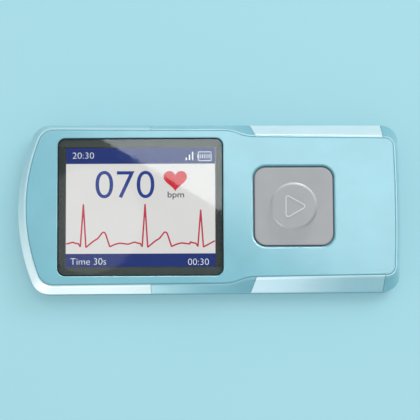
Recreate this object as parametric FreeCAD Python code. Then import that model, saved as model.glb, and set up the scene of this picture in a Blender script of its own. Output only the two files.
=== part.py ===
import FreeCAD, Part
import math
import os
from collections import namedtuple

# Handheld heart monitor: a flat two-part case with a glossy rim, three dry electrodes let into
# that rim, a colour display under a window and one square start key over a tact switch.
# Millimetres.  +X points to the key end, +Y across the case, +Z out of the display.
# The origin is under the middle of the case, on the flat back that it rests on.

Vec = FreeCAD.Vector
UP = Vec(0, 0, 1)

# ------------------------------------------------------------------ driving dimensions: case
CASE_LENGTH = 102.5
CASE_WIDTH = 45.6            # across the display end
KEY_END_WIDTH = 45.0         # the outline narrows slightly toward the key end
FACE_HEIGHT = 14.5           # back face to front face
PARTING_HEIGHT = 7.6         # where the rear shell meets the rim frame
PARTING_GAP = 0.15           # shadow line between the two
BAND_TOP = 8.5               # upright band of the rim ends and its bevel begins
RIM_DROP = 0.3               # the rim's top edge lies this much below the front face
RIM_LIP = 0.65               # width of the rim's top edge outside the front cover
BEVEL_LEFT = 2.7             # from the left end of the case to the left end of the cover
BEVEL_RIGHT = 1.9
LEFT_BOW_RADIUS = 52.4
RIGHT_BOW_RADIUS = 420.0
OUTLINE_CORNER_LEFT = 5.0
OUTLINE_CORNER_RIGHT = 4.4
OUTLINE_STEP_BEFORE_KEY = 19.3   # where the finger bevels start to twist in, before the key
OUTLINE_STEP_LENGTH = 7.4
RIM_WALL = 1.6
RIM_TOP_BEVEL = 0.25         # narrow bevels that soften the rim's two long outer edges
RIM_BAND_BEVEL = 0.4
TONGUE_DEPTH = 0.7           # rim tongue that drops into the rear shell
TONGUE_OUTER_INSET = 0.95
TONGUE_INNER_INSET = 1.6
TONGUE_CLEARANCE = 0.05

# ------------------------------------------------------------------ front cover
COVER_HALF_LEFT = 20.7       # half width at the left end
COVER_HALF_BEFORE_STEP = 20.35
COVER_HALF_AFTER_STEP = 18.65
COVER_HALF_RIGHT = 18.2
COVER_STEP_BEFORE_KEY = 18.8
COVER_STEP_LENGTH = 8.8
COVER_CORNER_LEFT = 4.0
COVER_CORNER_RIGHT = 2.3
COVER_THICKNESS = 1.6
COVER_GAP = 0.08             # all round, in the rim's pocket
COVER_EDGE_BEVEL = 0.25
LEDGE_WIDTH = 1.0            # rim ledge that carries the cover
LEDGE_THICKNESS = 1.2

# ------------------------------------------------------------------ window and display
MODULE_MARGIN = 10.65        # from the left end of the case to the display module
DISPLAY_LENGTH = 39.6        # picture size of a 220 x 176 point panel
DISPLAY_WIDTH = 31.7
WINDOW_LENGTH = 43.8
WINDOW_WIDTH = 36.6
WINDOW_CORNER = 2.0
WINDOW_EDGE_BEVEL = 0.3      # width of the shallow bevel round the window's pocket
LENS_EDGE_BEVEL = 0.2
EDGE_SLOPE = 24.0            # degrees that the shallow bevels fall from the front face
LENS_THICKNESS = 0.9
LENS_GAP = 0.1
LENS_RECESS = 0.05
GASKET_THICKNESS = 0.15
GASKET_MARGIN = 0.2          # gasket opening beyond the picture
SILL_MARGIN = 0.75           # cover sill opening beyond the picture
MODULE_LENGTH = 44.6
MODULE_WIDTH = 35.6
GLASS_THICKNESS = 0.65       # each of the two panel glasses
GLASS_SHELF = 1.3            # lower glass showing beside the upper one, for the flex
BACKLIGHT_THICKNESS = 1.3
BACKLIGHT_RIM = 0.9
BACKLIGHT_POCKET = 0.3
DISPLAY_CLEARANCE = 0.05
CARRIER_WALL = 0.5
CARRIER_GAP = 0.1
CARRIER_RAIL = 2.4
CARRIER_GRIP = 1.4           # height of the walls that hold the display sideways
FLEX_THICKNESS = 0.15
FLEX_WIDTH = 14.0
FLEX_OVERLAP = 1.1
FLEX_NOTCH_CLEARANCE = 0.6

# ------------------------------------------------------------------ start key and switch
KEY_SPACING = 18.3           # from the display module to the middle of the key
KEY_SIZE = 20.7
KEY_CORNER = 3.0
KEY_GAP = 0.32               # between key and cover, all round
KEY_RECESS = 0.05            # key plate below the front face
KEY_WALL = 1.3
KEY_EDGE_BEVEL = 0.3
KEY_OPENING_BEVEL = 0.3      # shallow bevel round the key's opening
KEY_OPENING_LEAD = 0.25      # width of the steep bevel below it
LEAD_SLOPE = 60.0            # degrees
KEY_DISC_DIAMETER = 12.6
KEY_DISC_HEIGHT = 0.55
KEY_DISC_BEVEL = 0.3
KEY_DISC_FOOT = 0.35         # width of the slope where the disc rises from the plate
KEY_FLANGE = 1.1             # flange reach beyond the key, under the cover
KEY_FLANGE_THICKNESS = 0.8
KEY_FLANGE_GAP = 0.06
KEY_POST_DIAMETER = 4.0
KEY_RIB = 0.9
KEY_TRAVEL = 0.4
KEY_STOP_MARGIN = 0.06       # left between flange and bumper at full travel
SWITCH_SIZE = 6.0
SWITCH_BODY_HEIGHT = 3.4
PLUNGER_DIAMETER = 3.4
PLUNGER_CLEARANCE = 0.08
PLUNGER_DEPTH = 1.2          # part of the plunger inside the switch body at rest
PLUNGER_PROUD = 1.0          # part of it above the body
POST_CLEARANCE = 0.03
GUIDE_WALL = 1.0
GUIDE_CLEARANCE = 0.2
GUIDE_SHELF = 2.6
GUIDE_SHELF_THICKNESS = 0.9
GUIDE_HEAD_CLEARANCE = 0.05
BUMPER_SIZE = 1.8
BUMPER_HEIGHT = 0.25

# ------------------------------------------------------------------ electrodes
SKIN = 0.6                   # electrode thickness, let into the rim
SEAM = 0.1                   # gap at the electrode ends and lower edge
ELECTRODE_FOOT = 0.3         # rim plastic showing below the electrodes
LEFT_ELECTRODE_LENGTH = 35.65
FINGER_START_BEFORE_KEY = 9.9    # start of a finger electrode at the cover
FINGER_START_LEAN = 1.4      # it starts this much earlier at the outline
FINGER_END_MARGIN = 5.05     # from its end to the right end of the case
TAB_WIDTH = 2.4              # each electrode's tab, through the rim wall to the inside
TAB_THICKNESS = 0.8
TAB_CLEARANCE = 0.06
TAB_HEIGHT = 10.6
TAB_PROUD = 0.4

# ------------------------------------------------------------------ rear shell
REAR_WALL = 1.7
REAR_FLOOR = 1.6
REAR_EDGE_ROUND = 2.6
REAR_EDGE_FLATS = 3          # the rounded back edge is built up from this many flats
BOSS_SIZE = 4.2              # square bosses under the front cover
BOSS_Y_LEFT = 10.0
BOSS_GAP = 0.3               # from the left bosses to the display carrier
BOSS_MARGIN_RIGHT = 6.65     # from the right bosses' middles to the right end of the case
BOSS_LEDGE_GAP = 0.2         # from the right bosses to the rim's ledge
REAR_BOSS_SIZE = 5.8
BOSS_HOLE_CLEARANCE = 0.15   # round a cover boss, in the board
SCREW_DIAMETER = 2.0
SCREW_CLEARANCE = 0.15       # round the shank, in the rear shell
THREAD_CLEARANCE = 0.02      # round the shank, in the cover boss
SCREW_LENGTH = 8.5
SCREW_HEAD_DIAMETER = 3.7
SCREW_HEAD_HEIGHT = 1.2
SCREW_SINK = 0.7             # top of the head below the back face
SCREW_POCKET_CLEARANCE = 0.2
SCREW_PILOT_SPARE = 0.6

# ------------------------------------------------------------------ board and battery
BOARD_THICKNESS = 1.0
BOARD_INSET = 2.9            # from the outside of the case to the edge of the board
BATTERY_LENGTH = 34.0
BATTERY_WIDTH = 25.0
BATTERY_THICKNESS = 3.8
BATTERY_OFFSET = 1.3         # its middle from the middle of the display
BATTERY_ROUND = 1.2
BATTERY_END_CAP = 3.0        # protection circuit under tape at the lead end
BATTERY_END_DROP = 0.4
BATTERY_PAD_THICKNESS = 0.3
BATTERY_PAD_MARGIN = 2.5
BATTERY_HEADROOM = 0.5
CRADLE_RIB = 1.0
CRADLE_HEIGHT = 2.2
CRADLE_GAP = 0.3
LEAD_DIAMETER = 0.9
LEAD_PITCH = 1.6
LEAD_START_HEIGHT = 2.0      # above the battery's underside
LEAD_RUN = 5.2               # from the battery to the plug
BATTERY_PLUG_LENGTH = 3.6
BATTERY_PLUG_WIDTH = 4.6
BATTERY_PLUG_HEIGHT = 1.9

# ------------------------------------------------------------------ parts on the board
PROCESSOR_SIZE = 8.0
PROCESSOR_HEIGHT = 1.0
PROCESSOR_OFFSET = -1.7      # offsets in X are from the middle of the display
PROCESSOR_Y = 3.0
AMPLIFIER_SIZE = 5.0
AMPLIFIER_HEIGHT = 0.9
AMPLIFIER_OFFSET = -13.0
AMPLIFIER_Y = -7.0
RADIO_LENGTH = 9.0
RADIO_WIDTH = 8.0
RADIO_HEIGHT = 1.6
RADIO_OFFSET = -13.0
RADIO_Y = 6.0
RADIO_WALL = 0.3
CHIP_PIN_PITCH = 0.8
CHIP_PIN_WIDTH = 0.35
CHIP_PIN_REACH = 0.5
CHIP_PIN_HEIGHT = 0.2
BUZZER_OFFSET = 3.7          # its middle from the middle of the key
BUZZER_DIAMETER = 9.0
BUZZER_HEIGHT = 2.4
BUZZER_PORT = 1.6
BUZZER_PORT_DEPTH = 0.6
FLEX_SOCKET_LENGTH = 3.2
FLEX_SOCKET_WIDTH = 16.0
FLEX_SOCKET_HEIGHT = 1.1
LEAF_THICKNESS = 0.2
LEAF_WIDTH = 2.0
LEAF_TOUCH = 0.02            # gap between leaf nose and tab
LEAF_BASE_START = 2.0        # leaf base on the board, measured in from the end of the tab
LEAF_BASE_END = 3.4
LEAF_KNEE = 0.7
LEAF_KNEE_SHARE = 0.7        # heights of the knee and the tail, as shares of the nose's
LEAF_TAIL_SHARE = 1.25
USB_WIDTH = 7.6
USB_BASE_WIDTH = 5.6
USB_HEIGHT = 2.6
USB_LENGTH = 5.6
USB_WALL = 0.3
USB_TONGUE_WIDTH = 3.8
USB_TONGUE_THICKNESS = 0.6
USB_INSET = 0.6              # mouth of the socket behind the outside of the case
USB_CLEARANCE = 0.35
USB_SLOT_CORNER = 0.9

# ------------------------------------------------------------------ worked-out places
LEFT_END = -CASE_LENGTH / 2
RIGHT_END = CASE_LENGTH / 2
MODULE_LEFT = LEFT_END + MODULE_MARGIN
MODULE_RIGHT = MODULE_LEFT + MODULE_LENGTH
DISPLAY_X = (MODULE_LEFT + MODULE_RIGHT) / 2
KEY_X = MODULE_RIGHT + KEY_SPACING
OUTLINE_STEP_START = KEY_X - OUTLINE_STEP_BEFORE_KEY
OUTLINE_STEP_END = OUTLINE_STEP_START + OUTLINE_STEP_LENGTH
COVER_STEP_START = KEY_X - COVER_STEP_BEFORE_KEY
COVER_STEP_END = COVER_STEP_START + COVER_STEP_LENGTH
RIM_BASE = PARTING_HEIGHT + PARTING_GAP
RIM_TOP = FACE_HEIGHT - RIM_DROP
COVER_BOTTOM = FACE_HEIGHT - COVER_THICKNESS
LEDGE_BOTTOM = COVER_BOTTOM - LEDGE_THICKNESS
ELECTRODE_BOTTOM = RIM_BASE + ELECTRODE_FOOT
BOARD_BOTTOM = REAR_FLOOR + BATTERY_PAD_THICKNESS + BATTERY_THICKNESS + BATTERY_HEADROOM
BOARD_TOP = BOARD_BOTTOM + BOARD_THICKNESS
DISPLAY_TOP = COVER_BOTTOM - DISPLAY_CLEARANCE
DISPLAY_SHELF = DISPLAY_TOP - GLASS_THICKNESS
PANEL_BOTTOM = DISPLAY_SHELF - GLASS_THICKNESS
CARRIER_TOP = PANEL_BOTTOM - BACKLIGHT_THICKNESS
LENS_TOP = FACE_HEIGHT - LENS_RECESS
LENS_BOTTOM = LENS_TOP - LENS_THICKNESS
SILL_TOP = LENS_BOTTOM - GASKET_THICKNESS
KEY_TOP = FACE_HEIGHT - KEY_RECESS
FLANGE_TOP = COVER_BOTTOM - KEY_FLANGE_GAP
FLANGE_BOTTOM = FLANGE_TOP - KEY_FLANGE_THICKNESS
FLANGE_SIZE = KEY_SIZE + 2 * KEY_FLANGE
BUMPER_TOP = FLANGE_BOTTOM - KEY_TRAVEL - KEY_STOP_MARGIN
SHELF_TOP = BUMPER_TOP - BUMPER_HEIGHT
GUIDE_INNER = FLANGE_SIZE + 2 * GUIDE_CLEARANCE
SWITCH_TOP = BOARD_TOP + SWITCH_BODY_HEIGHT
PLUNGER_TOP = SWITCH_TOP + PLUNGER_PROUD
BATTERY_BOTTOM = REAR_FLOOR + BATTERY_PAD_THICKNESS
BATTERY_X = DISPLAY_X + BATTERY_OFFSET
BATTERY_RIGHT = BATTERY_X + BATTERY_LENGTH / 2
BATTERY_PLUG_X = BATTERY_RIGHT + LEAD_RUN
BUZZER_X = KEY_X + BUZZER_OFFSET
BOSS_X_LEFT = MODULE_LEFT - CARRIER_GAP - CARRIER_WALL - BOSS_GAP - BOSS_SIZE / 2
BOSS_X_RIGHT = RIGHT_END - BOSS_MARGIN_RIGHT
BOSS_Y_RIGHT = COVER_HALF_RIGHT - LEDGE_WIDTH - BOSS_LEDGE_GAP - BOSS_SIZE / 2
BOSS_PLACES = [
    (BOSS_X_LEFT, BOSS_Y_LEFT),
    (BOSS_X_LEFT, -BOSS_Y_LEFT),
    (BOSS_X_RIGHT, BOSS_Y_RIGHT),
    (BOSS_X_RIGHT, -BOSS_Y_RIGHT),
]

# ------------------------------------------------------------------ outlines of the case
# A plan is the case outline at one height: two bowed ends, rounded corners, and long sides
# that run in two straight stretches with a smooth step between them.
Plan = namedtuple("Plan", "left right left_bow right_bow left_corner right_corner "
                          "half_left half_before half_after half_right step_start step_end")

STEP_HANDLE_SHARE = 0.5      # of the step's length that each curve handle takes


def widest_half(x):
    """Half width of the case outline at x, on the straight taper between its ends."""
    share = (x - LEFT_END) / CASE_LENGTH
    return (CASE_WIDTH + (KEY_END_WIDTH - CASE_WIDTH) * share) / 2


WIDEST = Plan(LEFT_END, RIGHT_END, LEFT_BOW_RADIUS, RIGHT_BOW_RADIUS,
              OUTLINE_CORNER_LEFT, OUTLINE_CORNER_RIGHT,
              widest_half(LEFT_END), widest_half(OUTLINE_STEP_START),
              widest_half(OUTLINE_STEP_END), widest_half(RIGHT_END),
              OUTLINE_STEP_START, OUTLINE_STEP_END)

COVER = Plan(LEFT_END + BEVEL_LEFT, RIGHT_END - BEVEL_RIGHT, LEFT_BOW_RADIUS - BEVEL_LEFT,
             RIGHT_BOW_RADIUS - BEVEL_RIGHT, COVER_CORNER_LEFT, COVER_CORNER_RIGHT,
             COVER_HALF_LEFT, COVER_HALF_BEFORE_STEP, COVER_HALF_AFTER_STEP,
             COVER_HALF_RIGHT, COVER_STEP_START, COVER_STEP_END)


def inset(plan, distance):
    """The same outline moved inwards by distance, or outwards if it is negative."""
    return plan._replace(
        left=plan.left + distance, right=plan.right - distance,
        left_bow=plan.left_bow - distance, right_bow=plan.right_bow - distance,
        left_corner=plan.left_corner - distance, right_corner=plan.right_corner - distance,
        half_left=plan.half_left - distance, half_before=plan.half_before - distance,
        half_after=plan.half_after - distance, half_right=plan.half_right - distance)


def between(low, high, share):
    """The outline a given share of the way up from low to high."""
    return Plan(*[a + (b - a) * share for a, b in zip(low, high)])


def corner_arc(plan, start, end, at_left):
    """The rounding between a long side, drawn through start and end, and a bowed end.

    Returns where it leaves the end, its middle, and where it joins the side."""
    bow = plan.left_bow if at_left else plan.right_bow
    radius = plan.left_corner if at_left else plan.right_corner
    bow_x = plan.left + bow if at_left else plan.right - bow
    slope = (end.y - start.y) / (end.x - start.x)
    stretch = math.hypot(1, slope)
    level = start.y - slope * start.x - radius * stretch
    half_b = slope * level - bow_x
    rest = bow_x ** 2 + level ** 2 - (bow - radius) ** 2
    root = math.sqrt(half_b ** 2 - stretch ** 2 * rest)
    x = (-half_b - root if at_left else -half_b + root) / stretch ** 2
    centre = Vec(x, level + slope * x, 0)
    side_way = Vec(-slope / stretch, 1 / stretch, 0)
    bow_way = (centre - Vec(bow_x, 0, 0)).normalize()
    middle_way = (side_way + bow_way).normalize()
    return centre + bow_way * radius, centre + middle_way * radius, centre + side_way * radius


def arc(start, middle, end):
    return Part.Arc(start, middle, end).toShape()


def smooth_step(start, end, slope_start, slope_end):
    """A curve from start to end that leaves and arrives along the two straight stretches."""
    reach = (end.x - start.x) * STEP_HANDLE_SHARE
    curve = Part.BezierCurve()
    curve.setPoles([start, start + Vec(reach, slope_start * reach, 0),
                    end - Vec(reach, slope_end * reach, 0), end])
    return curve.toShape()


def outline(plan, height):
    """The closed wire of a plan at one height."""
    far_left = Vec(plan.left, plan.half_left, 0)
    step_start = Vec(plan.step_start, plan.half_before, 0)
    step_end = Vec(plan.step_end, plan.half_after, 0)
    far_right = Vec(plan.right, plan.half_right, 0)
    left = corner_arc(plan, far_left, step_start, True)
    right = corner_arc(plan, step_end, far_right, False)
    slope_left = (step_start.y - left[2].y) / (step_start.x - left[2].x)
    slope_right = (right[2].y - step_end.y) / (right[2].x - step_end.x)
    upper = [
        arc(left[0], left[1], left[2]),
        Part.makeLine(left[2], step_start),
        smooth_step(step_start, step_end, slope_left, slope_right),
        Part.makeLine(step_end, right[2]),
        arc(right[2], right[1], right[0]),
    ]
    return closed_wire(plan, left, right, upper, height)


def plain_outline(plan, height):
    """The wire of a plan whose long sides are straight from end to end."""
    far_left = Vec(plan.left, plan.half_left, 0)
    far_right = Vec(plan.right, plan.half_right, 0)
    left = corner_arc(plan, far_left, far_right, True)
    right = corner_arc(plan, far_left, far_right, False)
    upper = [
        arc(left[0], left[1], left[2]),
        Part.makeLine(left[2], right[2]),
        arc(right[2], right[1], right[0]),
    ]
    return closed_wire(plan, left, right, upper, height)


def closed_wire(plan, left, right, upper, height):
    """The upper side, its mirror image and the two bowed ends, joined at one height."""
    lower = [edge.mirror(Vec(0, 0, 0), Vec(0, 1, 0)) for edge in reversed(upper)]
    left_end = arc(flipped(left[0]), Vec(plan.left, 0, 0), left[0])
    right_end = arc(right[0], Vec(plan.right, 0, 0), flipped(right[0]))
    wire = Part.Wire(Part.__sortEdges__([left_end] + upper + [right_end] + lower))
    wire.translate(Vec(0, 0, height))
    return wire


def flipped(point):
    return Vec(point.x, -point.y, point.z)


# ------------------------------------------------------------------ simple solids
SAME_PLACE = 1e-4            # lengths below this count as nothing when edges are picked


def prism(wire, height):
    """A wire filled and drawn straight up, or down if height is negative."""
    return Part.Face(wire).extrude(Vec(0, 0, height))


def block(x0, y0, z0, x1, y1, z1):
    return Part.makeBox(x1 - x0, y1 - y0, z1 - z0, Vec(x0, y0, z0))


def plate(x, y, bottom, length, width, height):
    """A block centred on x and y."""
    return block(x - length / 2, y - width / 2, bottom, x + length / 2, y + width / 2,
                 bottom + height)


def upright_edges(shape):
    """The straight edges of a shape that run parallel to Z."""
    def is_upright(edge):
        span = edge.BoundBox
        return span.XLength < SAME_PLACE and span.YLength < SAME_PLACE
    return [edge for edge in shape.Edges if is_upright(edge)]


def level_edges(shape, height):
    """The edges of a shape that lie at one height."""
    def is_level(edge):
        span = edge.BoundBox
        return abs(span.ZMin - height) < SAME_PLACE and abs(span.ZMax - height) < SAME_PLACE
    return [edge for edge in shape.Edges if is_level(edge)]


def rounded_plate(x, y, bottom, length, width, height, corner):
    """A plate with its four upright edges rounded."""
    solid = plate(x, y, bottom, length, width, height)
    return solid.makeFillet(corner, upright_edges(solid))


def fall(width, slope):
    """How far a bevel of some width goes down, for its slope in degrees."""
    return width * math.tan(math.radians(slope))


def tapered_plate(x, bottom, length, width, height, corner, growth):
    """A rounded plate that grows by growth on every side from its bottom to its top."""
    def ring(level, grow):
        sheet = rounded_plate(x, 0, level, length + 2 * grow, width + 2 * grow, height,
                              corner + grow)
        return min(sheet.Faces, key=lambda face: face.CenterOfMass.z).OuterWire
    return Part.makeLoft([ring(bottom, 0), ring(bottom + height, growth)], True, True)


def bevelled_plate(x, bottom, length, width, height, corner, bevel):
    """A rounded plate with a shallow bevel round its top."""
    depth = fall(bevel, EDGE_SLOPE)
    foot = rounded_plate(x, 0, bottom, length, width, height - depth, corner)
    slope = tapered_plate(x, bottom + height - depth, length, width, depth, corner, -bevel)
    return fuse([foot, slope])


def post(x, y, bottom, diameter, height):
    return Part.makeCylinder(diameter / 2, height, Vec(x, y, bottom), UP)


def fuse(shapes):
    """One clean solid from shapes that touch or overlap."""
    whole = shapes[0].fuse(shapes[1:]) if len(shapes) > 1 else shapes[0]
    return whole.removeSplitter()


def cut(shape, tools):
    for tool in tools:
        shape = shape.cut(tool)
    return shape


# ------------------------------------------------------------------ rim and electrodes
def rim_section(height):
    """The outline of the rim's bevelled outside at one height."""
    share = (height - BAND_TOP) / (RIM_TOP - BAND_TOP)
    return between(WIDEST, inset(COVER, -RIM_LIP), share)


def rim_form():
    """The filled rim: an upright band, the bevel, and narrow bevels along both edges."""
    low = BAND_TOP - RIM_BAND_BEVEL
    high = BAND_TOP + RIM_BAND_BEVEL
    shoulder = RIM_TOP - RIM_TOP_BEVEL
    sections = [
        outline(WIDEST, RIM_BASE),
        outline(WIDEST, low),
        outline(rim_section(high), high),
        outline(rim_section(shoulder), shoulder),
        outline(inset(rim_section(RIM_TOP), RIM_TOP_BEVEL), RIM_TOP),
    ]
    return Part.makeLoft(sections, True, True)


def rim_core(skin):
    """The filled rim set in from its outside by skin, with plain edges."""
    top = RIM_TOP - skin
    sections = [
        outline(inset(WIDEST, skin), RIM_BASE),
        outline(inset(WIDEST, skin), BAND_TOP),
        outline(inset(rim_section(top), skin), top),
    ]
    return Part.makeLoft(sections, True, True)


def cover_pocket():
    """The space that the front cover drops into."""
    return prism(outline(inset(COVER, -COVER_GAP), COVER_BOTTOM), 2 * COVER_THICKNESS)


def left_zone(grow):
    """The stretch of rim that the left electrode takes, grown by the seam."""
    return block(2 * LEFT_END, -CASE_WIDTH, ELECTRODE_BOTTOM - grow,
                 LEFT_END + LEFT_ELECTRODE_LENGTH + grow, CASE_WIDTH, 2 * FACE_HEIGHT)


def finger_zone(side, grow):
    """The stretch of rim that one finger electrode takes; side is 1 or -1 along Y."""
    foot = ELECTRODE_BOTTOM - grow
    lean = FINGER_START_LEAN / (KEY_END_WIDTH / 2 - COVER_HALF_AFTER_STEP)
    start = KEY_X - FINGER_START_BEFORE_KEY - grow
    end = RIGHT_END - FINGER_END_MARGIN + grow
    inner = COVER_HALF_AFTER_STEP / 2
    outer = CASE_WIDTH
    corners = [
        Vec(start + lean * (COVER_HALF_AFTER_STEP - inner), inner, foot),
        Vec(start + lean * (COVER_HALF_AFTER_STEP - outer), outer, foot),
        Vec(end, outer, foot),
        Vec(end, inner, foot),
    ]
    ring = [Vec(corner.x, side * corner.y, corner.z) for corner in corners]
    return prism(Part.makePolygon(ring + ring[:1]), 2 * FACE_HEIGHT)


def hollow_section():
    """The outline of the space inside the rim wall, up to the ledge."""
    return inset(rim_section(LEDGE_BOTTOM), RIM_WALL)


def left_tab_tip():
    return Vec(hollow_section().left + TAB_PROUD, 0, TAB_HEIGHT)


def finger_tab_tip(side):
    """A finger electrode's tab is beside the middle of the key."""
    section = hollow_section()
    share = (KEY_X - section.step_end) / (section.right - section.step_end)
    inner_half = section.half_after + (section.half_right - section.half_after) * share
    return Vec(KEY_X, side * (inner_half - TAB_PROUD), TAB_HEIGHT)


def tab(tip, turn, clearance):
    """An electrode's tab, from its tip inside the case straight out through the rim wall.

    It is drawn along +X, then turned about Z by turn degrees."""
    half_width = TAB_WIDTH / 2 + clearance
    half_height = TAB_THICKNESS / 2 + clearance
    bar = block(0, -half_width, -half_height, TAB_PROUD + 2 * RIM_WALL, half_width, half_height)
    bar.rotate(Vec(0, 0, 0), UP, turn)
    bar.translate(tip)
    return bar


LEFT_TURN = 180


def finger_turn(side):
    return 90 * side


def electrode(zone, tip, turn):
    """A strip of the rim's skin, with the tab that carries its signal inwards."""
    skin = rim_form().cut(rim_core(SKIN)).cut(cover_pocket()).common(zone)
    pin = tab(tip, turn, 0).common(rim_core(SKIN / 2))
    return fuse([skin, pin])


def make_rim_frame():
    """The glossy frame round the front: bevelled outside, recessed for the electrodes."""
    opening = prism(outline(inset(COVER, LEDGE_WIDTH), RIM_BASE), FACE_HEIGHT)
    hollow = prism(outline(hollow_section(), RIM_BASE), LEDGE_BOTTOM - RIM_BASE)
    frame = cut(rim_form(), [cover_pocket(), opening, hollow])
    tongue_bottom = PARTING_HEIGHT - TONGUE_DEPTH
    tongue_height = TONGUE_DEPTH + PARTING_GAP
    tongue_outside = prism(plain_outline(inset(WIDEST, TONGUE_OUTER_INSET), tongue_bottom),
                           tongue_height)
    tongue_inside = prism(plain_outline(inset(WIDEST, TONGUE_INNER_INSET), tongue_bottom),
                          tongue_height)
    frame = frame.fuse(tongue_outside.cut(tongue_inside))
    skin = rim_form().cut(rim_core(SKIN))
    for zone in (left_zone(SEAM), finger_zone(1, SEAM), finger_zone(-1, SEAM)):
        frame = frame.cut(skin.common(zone))
    slots = [tab(left_tab_tip(), LEFT_TURN, TAB_CLEARANCE)]
    slots += [tab(finger_tab_tip(side), finger_turn(side), TAB_CLEARANCE) for side in (1, -1)]
    return cut(frame, slots)


def make_left_electrode():
    return electrode(left_zone(0), left_tab_tip(), LEFT_TURN)


def make_finger_electrode(side):
    return electrode(finger_zone(side, 0), finger_tab_tip(side), finger_turn(side))


# ------------------------------------------------------------------ front cover and window
def window_space(bottom, height, shrink):
    """The window's rounded outline, shrunk on every side."""
    return rounded_plate(DISPLAY_X, 0, bottom, WINDOW_LENGTH - 2 * shrink,
                         WINDOW_WIDTH - 2 * shrink, height, WINDOW_CORNER - shrink)


def picture_opening(bottom, height, margin):
    """A plain opening round the picture, with a margin on every side."""
    return plate(DISPLAY_X, 0, bottom, DISPLAY_LENGTH + 2 * margin, DISPLAY_WIDTH + 2 * margin,
                 height)


def cover_boss(x, y):
    """A square screw boss that stands down from the cover to meet the one in the shell."""
    return plate(x, y, BOARD_BOTTOM, BOSS_SIZE, BOSS_SIZE, COVER_BOTTOM - BOARD_BOTTOM)


def screw_tip():
    return SCREW_SINK + SCREW_HEAD_HEIGHT + SCREW_LENGTH


def pilot_hole(x, y):
    height = screw_tip() + SCREW_PILOT_SPARE - BOARD_BOTTOM
    return post(x, y, BOARD_BOTTOM, SCREW_DIAMETER + 2 * THREAD_CLEARANCE, height)


def make_front_cover():
    """The flat front, with a pocket for the window and an opening for the key."""
    face = prism(outline(COVER, COVER_BOTTOM), COVER_THICKNESS)
    lens_pocket = window_space(SILL_TOP, COVER_THICKNESS, 0)
    picture = picture_opening(COVER_BOTTOM, COVER_THICKNESS, SILL_MARGIN)
    key_hole = square_key(COVER_BOTTOM, COVER_THICKNESS, KEY_GAP)
    face = face.makeChamfer(COVER_EDGE_BEVEL, level_edges(face, FACE_HEIGHT))
    face = cut(face, [lens_pocket, picture, key_hole, window_flare()] + key_flares())
    bosses = [cover_boss(x, y) for x, y in BOSS_PLACES]
    return cut(fuse([face] + bosses), [pilot_hole(x, y) for x, y in BOSS_PLACES])


def window_flare():
    """The space of the shallow bevel round the window's pocket, drawn on above the face."""
    depth = fall(WINDOW_EDGE_BEVEL, EDGE_SLOPE)
    return tapered_plate(DISPLAY_X, FACE_HEIGHT - depth, WINDOW_LENGTH, WINDOW_WIDTH, 2 * depth,
                         WINDOW_CORNER, 2 * WINDOW_EDGE_BEVEL)


def key_flares():
    """The spaces of the two bevels round the key's opening, a steep one under a shallow one."""
    lead_depth = fall(KEY_OPENING_LEAD, LEAD_SLOPE)
    bevel_depth = fall(KEY_OPENING_BEVEL, EDGE_SLOPE)
    size = KEY_SIZE + 2 * KEY_GAP
    wide = size + 2 * KEY_OPENING_LEAD
    corner = KEY_CORNER + KEY_GAP
    meeting = FACE_HEIGHT - bevel_depth
    lead = tapered_plate(KEY_X, meeting - lead_depth, size, size, lead_depth, corner,
                         KEY_OPENING_LEAD)
    bevel = tapered_plate(KEY_X, meeting, wide, wide, 2 * bevel_depth,
                          corner + KEY_OPENING_LEAD, 2 * KEY_OPENING_BEVEL)
    return [lead, bevel]


def make_window_lens():
    return bevelled_plate(DISPLAY_X, LENS_BOTTOM, WINDOW_LENGTH - 2 * LENS_GAP,
                          WINDOW_WIDTH - 2 * LENS_GAP, LENS_THICKNESS,
                          WINDOW_CORNER - LENS_GAP, LENS_EDGE_BEVEL)


def make_lens_gasket():
    """The black frame under the lens; it masks everything but the picture."""
    return window_space(SILL_TOP, GASKET_THICKNESS, LENS_GAP).cut(
        picture_opening(SILL_TOP, GASKET_THICKNESS, GASKET_MARGIN))


# ------------------------------------------------------------------ display
def make_display_panel():
    """Two glasses, the lower one longer at the right to take the flex."""
    lower = plate(DISPLAY_X, 0, PANEL_BOTTOM, MODULE_LENGTH, MODULE_WIDTH, GLASS_THICKNESS)
    upper = plate(DISPLAY_X - GLASS_SHELF / 2, 0, DISPLAY_SHELF, MODULE_LENGTH - GLASS_SHELF,
                  MODULE_WIDTH, GLASS_THICKNESS)
    return fuse([lower, upper])


def make_backlight():
    """The light tray behind the panel, with a shallow pocket in its back."""
    tray = plate(DISPLAY_X, 0, CARRIER_TOP, MODULE_LENGTH, MODULE_WIDTH, BACKLIGHT_THICKNESS)
    pocket = plate(DISPLAY_X, 0, CARRIER_TOP, MODULE_LENGTH - 2 * BACKLIGHT_RIM,
                   MODULE_WIDTH - 2 * BACKLIGHT_RIM, BACKLIGHT_POCKET)
    return tray.cut(pocket)


def make_display_carrier():
    """The frame that stands on the board and holds the display up to the window."""
    reach = CARRIER_WALL + CARRIER_GAP
    outer_length = MODULE_LENGTH + 2 * reach
    outer_width = MODULE_WIDTH + 2 * reach
    height = CARRIER_TOP + CARRIER_GRIP - BOARD_TOP
    body = plate(DISPLAY_X, 0, BOARD_TOP, outer_length, outer_width, height)
    nest = plate(DISPLAY_X, 0, CARRIER_TOP, MODULE_LENGTH + 2 * CARRIER_GAP,
                 MODULE_WIDTH + 2 * CARRIER_GAP, CARRIER_GRIP)
    middle = plate(DISPLAY_X, 0, BOARD_TOP, MODULE_LENGTH - 2 * CARRIER_RAIL,
                   MODULE_WIDTH - 2 * CARRIER_RAIL, height)
    notch_half = FLEX_SOCKET_WIDTH / 2 + FLEX_NOTCH_CLEARANCE
    notch = block(DISPLAY_X, -notch_half, BOARD_TOP, DISPLAY_X + outer_length, notch_half,
                  BOARD_TOP + height)
    return cut(body, [nest, middle, notch])


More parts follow.
